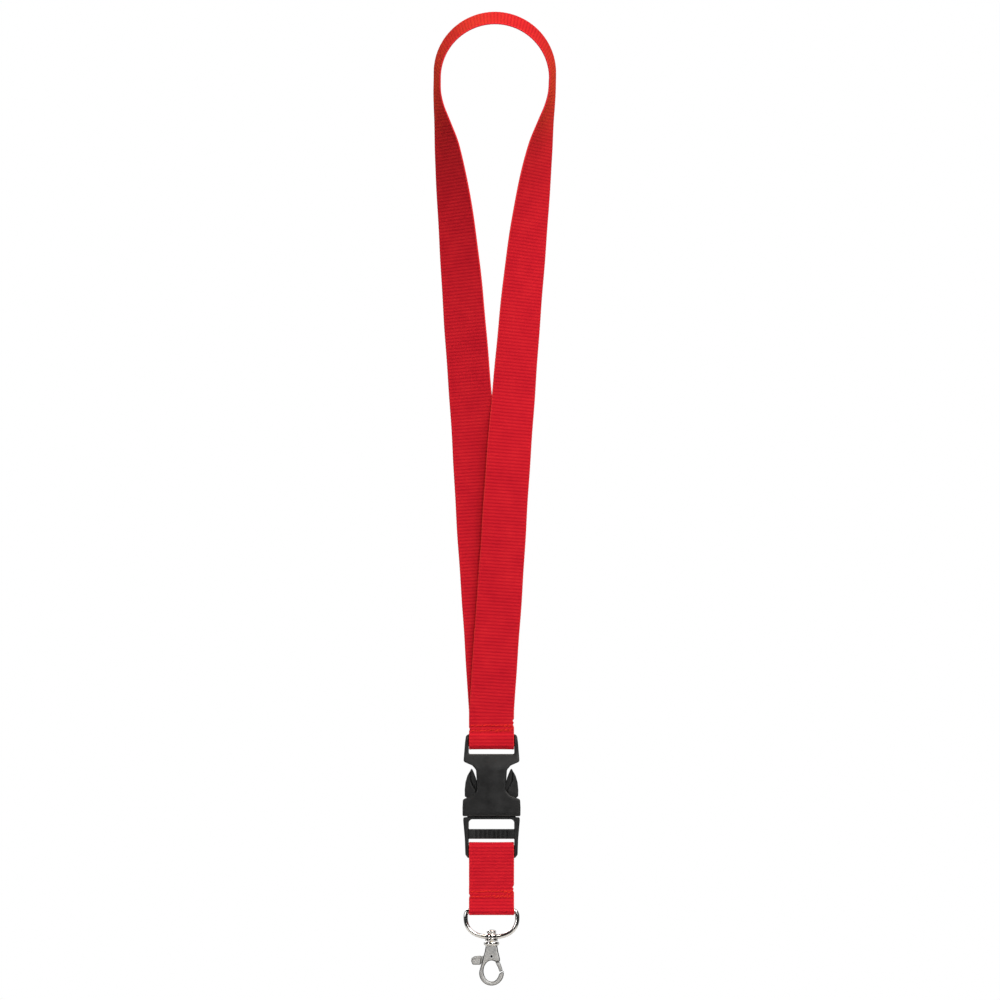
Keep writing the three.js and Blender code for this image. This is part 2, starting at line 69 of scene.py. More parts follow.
MOUTH_Z = low("buckle_socket")
SEWN_TOP_Z = high("neck_strap_sewn_end")
FOLD_BOTTOM_Z = low("neck_strap_sewn_end")
LOWER_TOP_Z = high("lower_strap_fold")
LOWER_BOTTOM_Z = low("lower_strap")
NECK_SEAM_Z = (low("neck_seam_thread") + high("neck_seam_thread")) / 2
LOWER_SEAM_Z = (low("lower_seam_thread") + high("lower_seam_thread")) / 2
D_WIRE = 1.25
D_BAR_Z = high("d_ring") - D_WIRE
EYE_Z = low("d_ring") + D_WIRE

# ------------------------------------------------------------------ camera

SENSOR_WIDTH = 36
VIEW_WIDTH = 555.6  # of the whole picture, at the lanyard
VIEW_DISTANCE = 20000  # far enough for nearly parallel lines of sight
VIEW_X, VIEW_Z = 4.72, -267.2

camera_data = bpy.data.cameras.new("camera")
camera_data.sensor_width = SENSOR_WIDTH
camera_data.lens = SENSOR_WIDTH * VIEW_DISTANCE / VIEW_WIDTH
camera_data.clip_end = 100
camera = bpy.data.objects.new("camera", camera_data)
camera.location = (VIEW_X * MM, -VIEW_DISTANCE * MM, VIEW_Z * MM)
camera.rotation_euler = (math.pi / 2, 0, 0)
bpy.context.scene.collection.objects.link(camera)
bpy.context.scene.camera = camera

# ------------------------------------------------------------------ mesh helpers


def make_object(name, verts, faces, material, slot, sharp=None, scale=MM):
    """A mesh object from points in millimetres."""
    mesh = bpy.data.meshes.new(name)
    mesh.from_pydata([tuple(c * scale for c in v) for v in verts], [], faces)
    mesh.validate()
    bm = bmesh.new()
    bm.from_mesh(mesh)
    bmesh.ops.recalc_face_normals(bm, faces=bm.faces)
    bm.to_mesh(mesh)
    bm.free()
    for polygon in mesh.polygons:
        polygon.use_smooth = True
    if sharp is not None:
        mesh.set_sharp_from_angle(angle=math.radians(sharp))
    mesh.materials.append(material)
    obj = bpy.data.objects.new(name, mesh)
    bpy.context.scene.collection.objects.link(obj)
    return obj


def merged(*parts):
    """Several (verts, faces) as one."""
    verts, faces = [], []
    for part_verts, part_faces in parts:
        start = len(verts)
        verts.extend(part_verts)
        faces.extend([[i + start for i in face] for face in part_faces])
    return verts, faces


def moved(part, dx=0.0, dy=0.0, dz=0.0):
    verts, faces = part
    return [(x + dx, y + dy, z + dz) for x, y, z in verts], faces


def fillet(points, step=0.25):
    """A closed outline with each corner (x, z, radius) rounded by an arc."""
    rounded = []
    count = len(points)
    for i, (x, z, radius) in enumerate(points):
        here = Vector((x, z))
        before = Vector(points[i - 1][:2]) - here
        after = Vector(points[(i + 1) % count][:2]) - here
        angle = before.angle(after)
        if radius <= 0 or angle > math.pi - 1e-3:
            rounded.append(here)
            continue
        reach = radius / math.tan(angle / 2)
        reach = min(reach, 0.49 * before.length, 0.49 * after.length)
        used = reach * math.tan(angle / 2)
        start = here + before.normalized() * reach
        end = here + after.normalized() * reach
        middle = (before.normalized() + after.normalized()).normalized()
        centre = here + middle * (used / math.sin(angle / 2))
        turn = math.pi - angle
        steps = max(3, math.ceil(turn * used / step), math.ceil(turn / 0.22))
        a, b = start - centre, end - centre
        for k in range(steps + 1):
            t = k / steps
            arm = (a * math.sin((1 - t) * turn) + b * math.sin(t * turn)) / math.sin(turn)
            rounded.append(centre + arm)
    return densified([(p.x, p.y) for p in rounded])


def densified(points, longest=0.9):
    """The same closed outline with no side longer than `longest`."""
    out = []
    for i, (x, z) in enumerate(points):
        nx, nz = points[(i + 1) % len(points)]
        length = math.hypot(nx - x, nz - z)
        if length < 1e-4:
            continue
        pieces = max(1, math.ceil(length / longest))
        out.extend((x + (nx - x) * k / pieces, z + (nz - z) * k / pieces) for k in range(pieces))
    return out


def area_of(points):
    return sum(x * nz - nx * z for (x, z), (nx, nz) in zip(points, points[1:] + points[:1])) / 2


def inset(points, distance):
    """An outline moved inwards, to the left of its direction."""
    moved_points = []
    count = len(points)
    for i in range(count):
        here = Vector(points[i])
        a = (here - Vector(points[i - 1])).normalized()
        b = (Vector(points[(i + 1) % count]) - here).normalized()
        na, nb = Vector((-a.y, a.x)), Vector((-b.y, b.x))
        both = na + nb
        both = both / max(0.35, both.length_squared / 2)
        moved_points.append(tuple(here + both * distance))
    return moved_points


def inside(px, pz, loops):
    """Which of many points lie inside an outline with holes, and how far each is from it."""
    within = np.zeros(len(px), bool)
    nearest = np.full(len(px), 1e9)
    for loop in loops:
        a = np.array(loop)
        b = np.roll(a, -1, axis=0)
        for (ax, az), (bx, bz) in zip(a, b):
            crosses = ((az > pz) != (bz > pz)) & (px < (bx - ax) * (pz - az) / (bz - az + 1e-12) + ax)
            within ^= crosses
            along = (px - ax) * (bx - ax) + (pz - az) * (bz - az)
            t = np.clip(along / ((bx - ax) ** 2 + (bz - az) ** 2), 0, 1)
            nearest = np.minimum(nearest, np.hypot(px - ax - t * (bx - ax), pz - az - t * (bz - az)))
    return within, nearest


def moulded(outer, holes, depth, radius, grid=0.9, rings=5):
    """A plate in the XZ plane, y from -depth to depth, with rounded edges, as (verts, faces).
    depth is a number or a function of (x, z)."""
    depth_at = depth if callable(depth) else (lambda x, z: depth)
    loops = [outer if area_of(outer) > 0 else outer[::-1]]
    loops += [hole if area_of(hole) < 0 else hole[::-1] for hole in holes]
    verts, faces, caps = [], [], []
    for loop in loops:
        levels = []
        for k in range(rings + 1):
            angle = math.pi / 2 * k / rings
            ring = inset(loop, radius * (1 - math.cos(angle)))
            sink = radius * (1 - math.sin(angle))
            levels.append((ring, sink))
        order = [(ring, sink, -1) for ring, sink in reversed(levels)]
        order += [(ring, sink, 1) for ring, sink in levels]
        starts = []
        for ring, sink, side in order:
            starts.append(len(verts))
            verts.extend((x, side * (depth_at(x, z) - sink), z) for x, z in ring)
        count = len(loop)
        for lower, upper in zip(starts, starts[1:]):
            for i in range(count):
                j = (i + 1) % count
                faces.append([lower + i, lower + j, upper + j, upper + i])
        caps.append((levels[-1][0], starts[0], starts[-1]))
    rims = [ring for ring, _, _ in caps]
    xs = [x for x, _ in rims[0]]
    zs = [z for _, z in rims[0]]
    columns = np.arange(min(xs) + grid / 3, max(xs), grid)
    rows = np.arange(min(zs) + grid / 3, max(zs), grid)
    gx, gz = (g.ravel() for g in np.meshgrid(columns, rows))
    within, nearest = inside(gx, gz, rims)
    interior = [(x, z) for x, z, ok in zip(gx, gz, within & (nearest > 0.4 * grid)) if ok]
    flat, edges, origin = [], [], []
    for ring, front, back in caps:
        start = len(flat)
        flat.extend(Vector(p) for p in ring)
        origin.extend((front + i, back + i) for i in range(len(ring)))
        edges.extend((start + i, start + (i + 1) % len(ring)) for i in range(len(ring)))
    for x, z in interior:
        flat.append(Vector((x, z)))
        deep = depth_at(x, z)
        verts.append((x, -deep, z))
        verts.append((x, deep, z))
        origin.append((len(verts) - 2, len(verts) - 1))
    points, _, triangles, first, _, _ = delaunay_2d_cdt(flat, edges, [], 0, 1e-6)
    pair_of = []
    for point, inputs in zip(points, first):
        if inputs:
            pair_of.append(origin[inputs[0]])
            continue
        deep = depth_at(point.x, point.y)
        verts.extend([(point.x, -deep, point.y), (point.x, deep, point.y)])
        pair_of.append((len(verts) - 2, len(verts) - 1))
    centres = np.array([[sum(points[i][a] for i in t) / 3 for a in (0, 1)] for t in triangles])
    kept, _ = inside(centres[:, 0], centres[:, 1], rims)
    for triangle, ok in zip(triangles, kept):
        if ok:
            pairs = [pair_of[i] for i in triangle]
            faces.append([front for front, _ in pairs])
            faces.append([back for _, back in reversed(pairs)])
    return verts, faces


def lathe(profile, sides=64):
    """A closed solid turned about Z from (radius, z) pairs listed from bottom to top."""
    verts, faces = [], []
    count = len(profile)
    for k in range(sides):
        angle = 2 * math.pi * k / sides
        verts.extend((r * math.cos(angle), r * math.sin(angle), z) for r, z in profile)
    for k in range(sides):
        n = (k + 1) % sides
        for i in range(count - 1):
            faces.append([k * count + i, n * count + i, n * count + i + 1, k * count + i + 1])
    faces.append([k * count for k in range(sides)][::-1])
    faces.append([k * count + count - 1 for k in range(sides)])
    return verts, faces


def rounded_profile(points, step=0.1):
    """A lathe profile whose corners (radius, z, rounding) are rounded."""
    out = [points[0][:2]]
    for i in range(1, len(points) - 1):
        x, z, radius = points[i]
        here = Vector((x, z))
        before = Vector(points[i - 1][:2]) - here
        after = Vector(points[i + 1][:2]) - here
        reach = min(radius, 0.49 * before.length, 0.49 * after.length)
        if reach <= 0:
            out.append((x, z))
            continue
        a, b = here + before.normalized() * reach, here + after.normalized() * reach
        steps = max(3, math.ceil(reach / step))
        for k in range(steps + 1):
            t = k / steps
            point = a * (1 - t) ** 2 + here * 2 * t * (1 - t) + b * t * t
            out.append((point.x, point.y))
    out.append(points[-1][:2])
    return out


def tube(path, radius, sides=12, closed=False, up=Vector((0, 1, 0))):
    """A round tube along a path, as (verts, faces).
    radius is a number or a function of the share of the way."""
    verts, faces = [], []
    count = len(path)
    for i, point in enumerate(path):
        before = path[i - 1] if closed or i else path[i]
        after = path[(i + 1) % count] if closed or i < count - 1 else path[i]
        along = (Vector(after) - Vector(before)).normalized()
        side = (up - along * up.dot(along)).normalized()
        other = along.cross(side)
        r = radius(i / (count - 1)) if callable(radius) else radius
        for k in range(sides):
            angle = 2 * math.pi * k / sides
            verts.append(tuple(Vector(point) + (side * math.cos(angle) + other * math.sin(angle)) * r))
    for i in range(count if closed else count - 1):
        a, b = i * sides, ((i + 1) % count) * sides
        for k in range(sides):
            n = (k + 1) % sides
            faces.append([a + k, b + k, b + n, a + n])
    if not closed:
        faces.append(list(range(sides)))
        faces.append([(count - 1) * sides + k for k in range(sides)][::-1])
    return verts, faces


def carved(obj, *cutters, sharp=30):
    """Takes the cutters' volumes away from obj and removes the cutters."""
    for tool in cutters:
        modifier = obj.modifiers.new("cut", "BOOLEAN")
        modifier.operation = "DIFFERENCE"
        modifier.solver = "EXACT"
        modifier.object = tool
    graph = bpy.context.evaluated_depsgraph_get()
    mesh = bpy.data.meshes.new_from_object(obj.evaluated_get(graph))
    obj.modifiers.clear()
    obj.data = mesh
    for polygon in mesh.polygons:
        polygon.use_smooth = True
    mesh.set_sharp_from_angle(angle=math.radians(sharp))
    for tool in cutters:
        bpy.data.objects.remove(tool)


def block(x, y, z):
    """A plain box used as a cutter."""
    verts = [(a, b, c) for a in x for b in y for c in z]
    faces = [[0, 1, 3, 2], [4, 6, 7, 5], [0, 4, 5, 1], [2, 3, 7, 6], [0, 2, 6, 4], [1, 5, 7, 3]]
    return verts, faces


def cutter(part):
    return make_object("cutter", *part, steel, "nickel")


def smoothstep(low_edge, high_edge, value):
    t = min(1, max(0, (value - low_edge) / (high_edge - low_edge)))
    return t * t * (3 - 2 * t)


# ------------------------------------------------------------------ materials


class Nodes:
    """A new material and short ways to add its nodes."""

    def __init__(self, name, **sockets):
        self.material = bpy.data.materials.new(name)
        self.material.use_nodes = True
        self.tree = self.material.node_tree
        self.bsdf = self.tree.nodes["Principled BSDF"]
        for socket, value in sockets.items():
            self.bsdf.inputs[socket.replace("_", " ")].default_value = value

    def add(self, kind, inputs=(), **settings):
        node = self.tree.nodes.new(kind)
        for key, value in settings.items():
            setattr(node, key, value)
        for key, value in dict(inputs).items():
            if isinstance(value, bpy.types.NodeSocket):
                self.tree.links.new(value, node.inputs[key])
            else:
                node.inputs[key].default_value = value
        return node

    def math(self, operation, a, b=0.0):
        return self.add("ShaderNodeMath", {0: a, 1: b}, operation=operation).outputs[0]

    def noise(self, coordinate, scale, detail=2.0, roughness=0.5):
        values = {"Vector": coordinate, "Scale": scale, "Detail": detail, "Roughness": roughness}
        return self.add("ShaderNodeTexNoise", values).outputs["Fac"]

    def ramp(self, factor, *stops):
        node = self.add("ShaderNodeValToRGB", {"Fac": factor})
        while len(node.color_ramp.elements) < len(stops):
            node.color_ramp.elements.new(0.5)
        for element, (position, colour) in zip(node.color_ramp.elements, stops):
            element.position = position
            element.color = (*colour, 1)
        return node.outputs["Color"]

    def to(self, socket, value):
        self.tree.links.new(value, self.bsdf.inputs[socket])

    def bump(self, height, distance, strength=1.0):
        node = self.add("ShaderNodeBump", {"Height": height, "Distance": distance, "Strength": strength})
        self.to("Normal", node.outputs["Normal"])


def webbing_material():
    """Ribbed woven polyester. The UV map holds metres across and along the band."""
    n = Nodes("webbing_red", Roughness=0.62)
    n.bsdf.inputs["Sheen Weight"].default_value = 0.32
    n.bsdf.inputs["Sheen Roughness"].default_value = 0.4
    n.bsdf.inputs["Sheen Tint"].default_value = (1.0, 0.24, 0.03, 1)
    n.bsdf.inputs["Specular IOR Level"].default_value = 0.0
    uv = n.add("ShaderNodeUVMap").outputs["UV"]
    split = n.add("ShaderNodeSeparateXYZ", {0: uv})
    across, along = split.outputs[0], split.outputs[1]
    # Painted shade: the colour is darker in the grooves between the ribs and between the threads, and lighter
    # on their crests
    turns = n.math("MULTIPLY", across, math.pi / (THREAD_PITCH * MM))
    thread_relief_and_shade = n.math("ABSOLUTE", n.math("SINE", turns))
    rib_groove_shade = n.math("ABSOLUTE", n.math("COSINE", n.math("MULTIPLY", along, math.pi / (RIB_PITCH * MM))))
    fuzz = n.noise(uv, 2600, 3)
    patches = n.noise(uv, 90, 3)
    tone = n.math("ADD", n.math("MULTIPLY", rib_groove_shade, 0.34), n.math("MULTIPLY", thread_relief_and_shade, 0.12))
    tone = n.math("ADD", tone, n.math("MULTIPLY", fuzz, 0.3))
    tone = n.math("ADD", tone, n.math("MULTIPLY", patches, 0.38))
    # Painted highlight: the strip along each edge is made paler, for the light that the edge catches
    edge_highlight = n.math("GREATER_THAN", n.math("ABSOLUTE", across), EDGE_HIGHLIGHT_START * MM)
    tone = n.math("ADD", tone, n.math("MULTIPLY", edge_highlight, 0.3))
    colour = n.ramp(
        tone,
        (0.2, (0.42, 0.007, 0.02)),
        (0.55, (0.67, 0.013, 0.03)),
        (0.8, (0.83, 0.022, 0.036)),
        (1.0, (0.9, 0.042, 0.05)),
    )
    n.to("Base Color", colour)
    n.to("Roughness", n.add("ShaderNodeMapRange", {"Value": fuzz, 3: 0.52, 4: 0.78}).outputs[0])
    height = n.math("ADD", n.math("MULTIPLY", thread_relief_and_shade, 0.6), n.math("MULTIPLY", fuzz, 0.5))
    n.bump(height, 0.00009, 0.8)
    return n.material


def thread_material():
    """Twisted sewing thread, a little more orange and glossier than the webbing."""
    n = Nodes("thread_orange_red", Roughness=0.6)
    n.bsdf.inputs["Specular IOR Level"].default_value = 0.1
    position = n.add("ShaderNodeTexCoord").outputs["Object"]
    twist = n.add(
        "ShaderNodeTexWave",
        {"Vector": position, "Scale": 900.0, "Distortion": 0.6},
        bands_direction="DIAGONAL",
    ).outputs["Fac"]
    n.to("Base Color", n.ramp(twist, (0.0, (0.80, 0.024, 0.018)), (1.0, (0.97, 0.046, 0.03))))
    n.bump(twist, 0.00008, 0.7)
    return n.material


def acetal_material():
    """Black moulded acetal with the fine grain of a spark-eroded mould and faint rubbing marks."""
    n = Nodes("acetal_black")
    n.bsdf.inputs["Specular IOR Level"].default_value = 0.42
    position = n.add("ShaderNodeTexCoord").outputs["Object"]
    grain = n.noise(position, 3200, 2)
    cloud = n.noise(position, 160, 4, 0.6)
    stretched = n.add("ShaderNodeMapping", {"Vector": position, "Scale": (1, 1, 0.12)}).outputs[0]
    rubs = n.noise(stretched, 900, 5, 0.7)
    n.to("Base Color", n.ramp(cloud, (0.3, (0.009, 0.0092, 0.0096)), (0.7, (0.023, 0.0234, 0.0246))))
    rough = n.math("ADD", n.math("MULTIPLY", cloud, 0.16), n.math("MULTIPLY", rubs, 0.14))
    n.to("Roughness", n.math("ADD", rough, 0.26))
    n.bump(n.math("ADD", grain, n.math("MULTIPLY", rubs, 0.5)), 0.00003, 0.55)
    return n.material


def nickel_material(name, roughness, cast, colour=(0.80, 0.79, 0.765), metallic=1.0, bevel_shade=0.0):
    """Nickel plating: roughness is its polish, cast how uneven the metal under it is, and bevel_shade
    how dark the rounded edges of its flat castings are painted: painted shade for the dark reflections on them."""
    n = Nodes(name, Metallic=metallic)
    position = n.add("ShaderNodeTexCoord").outputs["Object"]
    grain = n.noise(position, 1500, 4, 0.6)
    waves = n.noise(position, 260, 3)
    scratch_space = n.add("ShaderNodeMapping", {"Vector": position, "Scale": (1, 1, 0.08)}).outputs[0]
    scratches = n.noise(scratch_space, 2600, 3, 0.7)
    dull = tuple(c * 0.82 for c in colour)
    clean = n.ramp(waves, (0.3, dull), (0.65, colour))
    # Painted shade: the colour darkens where the object's own normal turns from the flat faces to the rounded
    # edges, for the dark reflections there; side walls are painted at 0.9
    normal = n.add("ShaderNodeTexCoord").outputs["Normal"]
    facing = n.math("ABSOLUTE", n.add("ShaderNodeSeparateXYZ", {0: normal}).outputs[1])
    keep = 1 - bevel_shade
    bevel_shade_colour = (keep, keep, keep)
    painted_bevel_shade = n.ramp(facing, (0.12, (0.9, 0.9, 0.9)), (0.3, bevel_shade_colour), (0.9, bevel_shade_colour), (0.965, (1, 1, 1)))
    shade = n.add("ShaderNodeMix", {"Factor": 1.0, 6: clean, 7: painted_bevel_shade}, data_type="RGBA", blend_type="MULTIPLY")
    n.to("Base Color", shade.outputs[2])
    worn = n.math("ADD", n.math("MULTIPLY", scratches, 0.12), n.math("MULTIPLY", waves, 0.08))
    n.to("Roughness", n.math("ADD", worn, roughness - 0.08))
    n.bump(n.math("ADD", grain, n.math("MULTIPLY", waves, 1.5)), 0.00002 * cast, 0.6)
    return n.material


RIB_PITCH = 1.876
STATION_STEP = RIB_PITCH / 5
THREAD_PITCH = 0.42
EDGE_HIGHLIGHT_START = 12.05  # from the webbing's middle to the edge strip painted paler, a painted highlight where the edge catches light
webbing = webbing_material()
thread = thread_material()
acetal = acetal_material()
nickel = nickel_material("nickel_polished", 0.13, 0.15)
satin = nickel_material("nickel_satin", 0.34, 2.0, (0.76, 0.76, 0.75), 0.6, 0.82)
steel = nickel_material("spring_steel", 0.3, 1.0, (0.55, 0.55, 0.56))
# The rivet pin's metal is coloured near black all over
near_black = nickel_material("rivet_blackened", 0.45, 1.0, (0.03, 0.03, 0.03))

# ------------------------------------------------------------------ webbing

WIDTH = 25
THICKNESS = 1
LAYER = 1.3  # from the middle of one sewn layer to the next
RIB_HEIGHT = 0.055
EDGE_SCALLOP = 0.11
CROWN_RADIUS = 32
CROWN_FLARE = math.radians(7.3)
CROWN_TILT = math.radians(8)
CROWN_SHIFT = 1.8
SHIFT_DECAY = 90
BOW_RISE = 0.215
BOW_DECAY = 75
STRAND_END = 354
CROSS_DEPTH = 120
# depth under the crown's ends, half the distance between the strands, turn from face-on in degrees
STRAND = [
    (0, 32, 82.7),
    (9, 31.8, 82),
    (17, 30.7, 78),
    (26, 28.7, 70),
    (40, 25.9, 57),
    (70, 21.7, 41),
    (120, 16.7, 26),
    (190, 11.0, 16),
    (270, 5.6, 5),
    (STRAND_END, 0, 0),
]
crown_up = Vector((0, -math.sin(CROWN_TILT), math.cos(CROWN_TILT)))
crown_back = Vector((0, math.cos(CROWN_TILT), math.sin(CROWN_TILT)))
crown_centre = Vector((CROWN_SHIFT, 0, THICKNESS / 2)) - crown_up * CROWN_RADIUS


def crown_station(angle):
    radial = Vector((math.cos(angle), 0, 0)) + crown_up * math.sin(angle)
    across = crown_back * math.cos(CROWN_FLARE) + radial * math.sin(CROWN_FLARE)
    return crown_centre + radial * CROWN_RADIUS, across


def strand_row(depth):
    """Half distance and turn at a depth, on a smooth curve through STRAND."""
    k = max(i for i in range(len(STRAND) - 1) if STRAND[i][0] <= depth)

    def slope(i, column):
        a, b = STRAND[max(0, i - 1)], STRAND[min(len(STRAND) - 1, i + 1)]
        return (b[column] - a[column]) / (b[0] - a[0])

    (d0, *_), (d1, *_) = STRAND[k], STRAND[k + 1]
    t = (depth - d0) / (d1 - d0)
    values = []
    for column in (1, 2):
        p0, p1 = STRAND[k][column], STRAND[k + 1][column]
        m0, m1 = slope(k, column) * (d1 - d0), slope(k + 1, column) * (d1 - d0)
        values.append(
            (2 * t**3 - 3 * t**2 + 1) * p0
            + (t**3 - 2 * t**2 + t) * m0
            + (3 * t**2 - 2 * t**3) * p1
            + (t**3 - t**2) * m1
        )
    return values


def strand_station(side, depth):
    half, degrees = strand_row(depth)
    turn = math.radians(degrees)
    drift = CROWN_SHIFT * math.exp(-depth / SHIFT_DECAY)
    swing = (crown_centre.y + BOW_RISE * depth) * math.exp(-depth / BOW_DECAY) * (1 - depth / STRAND_END)
    overlap = max(0, WIDTH * math.cos(turn) - 2 * half)
    forward = LAYER * min(1, depth / CROSS_DEPTH) + overlap * math.tan(turn)
    middle = Vector((drift + side * half, swing - (forward if side > 0 else 0), crown_centre.z - depth))
    return middle, Vector((side * math.cos(turn), math.sin(turn), 0))


def arc(y, z, radius, start, end, steps=24):
    """Points on an arc in the YZ plane."""
    angles = [math.radians(start + (end - start) * k / steps) for k in range(steps + 1)]
    return [Vector((0, y + radius * math.cos(a), z + radius * math.sin(a))) for a in angles]


def stations(points, spacing):
    """(middle, across) pairs at even spacing along those given, with the length."""
    middles = np.array([list(m) for m, _ in points])
    sides = np.array([list(a) for _, a in points])
    length = np.concatenate([[0], np.cumsum(np.linalg.norm(np.diff(middles, axis=0), axis=1))])
    count = round(length[-1] / spacing)
    at = np.linspace(0, length[-1], count + 1)
    middles = np.column_stack([np.interp(at, length, middles[:, k]) for k in range(3)])
    sides = np.column_stack([np.interp(at, length, sides[:, k]) for k in range(3)])
    for _ in range(3):
        middles[1:-1] = (middles[:-2] + 2 * middles[1:-1] + middles[2:]) / 4
        sides[1:-1] = (sides[:-2] + 2 * sides[1:-1] + sides[2:]) / 4
    return middles, sides, at


def band(name, points, waver):
    """A ribbed band of webbing along (middle, across) pairs, and its length in millimetres."""
    middles, sides, at = stations(points, STATION_STEP)
    along = np.gradient(middles, axis=0)
    along /= np.linalg.norm(along, axis=1)[:, None]
    sides -= along * np.sum(sides * along, axis=1)[:, None]
    sides /= np.linalg.norm(sides, axis=1)[:, None]
    faces_out = np.cross(along, sides)
    half = WIDTH / 2
    columns = [0, 0.05, 0.2, 0.45, 0.8, 1.2, 1.6, 2.4, 4.2, 6.5, 9.0, 11.0]
    spread = np.array([-half + c for c in columns] + [0] + [half - c for c in reversed(columns)])
    wave = np.abs(np.cos(math.pi * at / RIB_PITCH))
    rib = wave**0.7
    scallop = EDGE_SCALLOP * (wave - 0.6)
    edge = np.clip((np.abs(spread) - (half - 0.45)) / 0.45, 0, 1)
    thick = (THICKNESS / 2 - 0.04) * np.sqrt(1 - 0.97 * edge**2)
    thick += 0.05 * np.exp(-(((np.abs(spread) - (half - 0.75)) / 0.35) ** 2))
    thick -= 0.05 * np.exp(-(((np.abs(spread) - (half - 1.5)) / 0.3) ** 2))
    loops = []
    for i in range(len(at)):
        left = scallop[i] + waver(at[i], -1)
        right = scallop[i] + waver(at[i], 1)
        reach = np.where(spread < 0, left, right) * (np.abs(spread) / half)
        u = spread + np.sign(spread) * reach
        ridge = RIB_HEIGHT * (rib[i] - 0.5) * (1 - edge)
        cup = 0.12 * (spread / half) ** 2 * math.sin(at[i] / 61)
        top = middles[i] + sides[i] * u[:, None] + faces_out[i] * (cup + thick + ridge)[:, None]
        under = middles[i] + sides[i] * u[:, None] + faces_out[i] * (cup - thick - ridge)[:, None]
        loops.append(np.vstack([top, under[::-1]]))
    around = 2 * len(spread)
    verts = np.vstack(loops)
    faces = []
    for i in range(len(at) - 1):
        a, b = i * around, (i + 1) * around
        faces.extend([a + k, a + (k + 1) % around, b + (k + 1) % around, b + k] for k in range(around))
    for start, flip in ((0, True), ((len(at) - 1) * around, False)):
        end = start + around - 1
        row = [[start + k, start + k + 1, end - 1 - k, end - k] for k in range(len(spread) - 1)]
        faces.extend(quad[::-1] if flip else quad for quad in row)
    obj = make_object(name, verts, faces, webbing, "webbing", sharp=60)
    u_of = np.concatenate([spread, spread[::-1]]) * MM
    layer = obj.data.uv_layers.new(name="UVMap")
    index = np.empty(len(obj.data.loops), np.int32)
    obj.data.loops.foreach_get("vertex_index", index)
    uv = np.column_stack([u_of[index % around], at[index // around] * MM])
    layer.data.foreach_set("uv", uv.ravel().astype(np.float32))
    return obj, at[-1]


# ---- the neck webbing, from its hidden left end round the crown to the cut end behind the socket's bar

ACROSS = Vector((1, 0, 0))
FOLD_RADIUS = 2.0  # to the middle of the webbing folded round a bar
neck_fold_z = FOLD_BOTTOM_Z + FOLD_RADIUS + THICKNESS / 2
strand_end_z = crown_centre.z - STRAND_END
sewn_bottom = NECK_SEAM_Z - 2.9

neck_path = [(Vector((0, 0, z)), -ACROSS) for z in np.linspace(sewn_bottom, strand_end_z - 1, 8)]
neck_path += [strand_station(-1, STRAND_END * (1 - k / 200)) for k in range(200)]
neck_path += [crown_station(math.pi * (1 - k / 90)) for k in range(91)]
neck_path += [strand_station(1, STRAND_END * k / 200) for k in range(1, 201)]
down = [(0, -LAYER, z) for z in np.linspace(strand_end_z - 1, sewn_bottom, 8)]
down += [(0, -FOLD_RADIUS, sewn_bottom - 1.6), (0, -FOLD_RADIUS, neck_fold_z + 0.3)]
round_bar = arc(0, neck_fold_z, FOLD_RADIUS, 180, 360)
up = [(0, FOLD_RADIUS, neck_fold_z + 0.3), (0, FOLD_RADIUS, sewn_bottom - 1.6)]
up += [(0, LAYER, z) for z in np.linspace(sewn_bottom, SEWN_TOP_Z - 0.3, 6)]
neck_path += [(Vector(p), ACROSS) for p in [*down, *round_bar, *up]]


def seam_pulls(points, seam_z, tugs):
    """(place along a band, its side, amount) for stitches that draw every sewn layer's edge in.
    tugs holds (height over the seam, 1 for the right edge or -1 for the left one, amount)."""
    middles, sides, at = stations(points, STATION_STEP)
    found = []
    for y in (-LAYER, 0, LAYER):
        layer = [i for i in range(len(at)) if abs(middles[i][1] - y) < 0.2 and abs(middles[i][0]) < 1.5]
        for up, edge, amount in tugs:
            i = min(layer, key=lambda i: abs(middles[i][2] - seam_z - up))
            found.append((at[i], edge if sides[i][0] > 0 else -edge, amount))
    return found


def pulled(at, side, pulls):
    """How far the stitches draw one edge of the band in, negative as a change of width."""
    near = [(place, amount) for place, edge, amount in pulls if edge == side]
    return -sum(amount * math.exp(-(((at - place) / 0.7) ** 2)) for place, amount in near)


def neck_waver(at, side):
    """How far an edge of the neck webbing wanders from straight."""
    calm = smoothstep(26, 60, min(at, neck_total - at))
    drift = 0.10 * math.sin(at / 17 + side) + 0.07 * math.sin(at / 6.1 + 2 * side)
    return drift * calm + pulled(at, side, neck_pulls)


neck_total = stations(neck_path, STATION_STEP)[2][-1]
neck_pulls = seam_pulls(neck_path, NECK_SEAM_Z, [(1.8, 1, 0.8), (4.2, 1, 0.7), (-0.5, -1, 0.4)])
neck_webbing, neck_length = band("neck_webbing", neck_path, neck_waver)
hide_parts("neck_strap", "neck_strap_sewn_end")

# ---- the lower webbing, from inside its seam round the D-ring, over the plug's bar and back

lower_fold_z = LOWER_TOP_Z - FOLD_RADIUS - THICKNESS / 2
flex_z = (low("lower_strap_fold") + high("lower_strap")) / 2
RING_LOOP = D_WIRE + 0.3 + THICKNESS / 2
lower_sewn_top = LOWER_SEAM_Z + 4.8
lower_sewn_bottom = LOWER_SEAM_Z - 2.7
LEG = 1.85

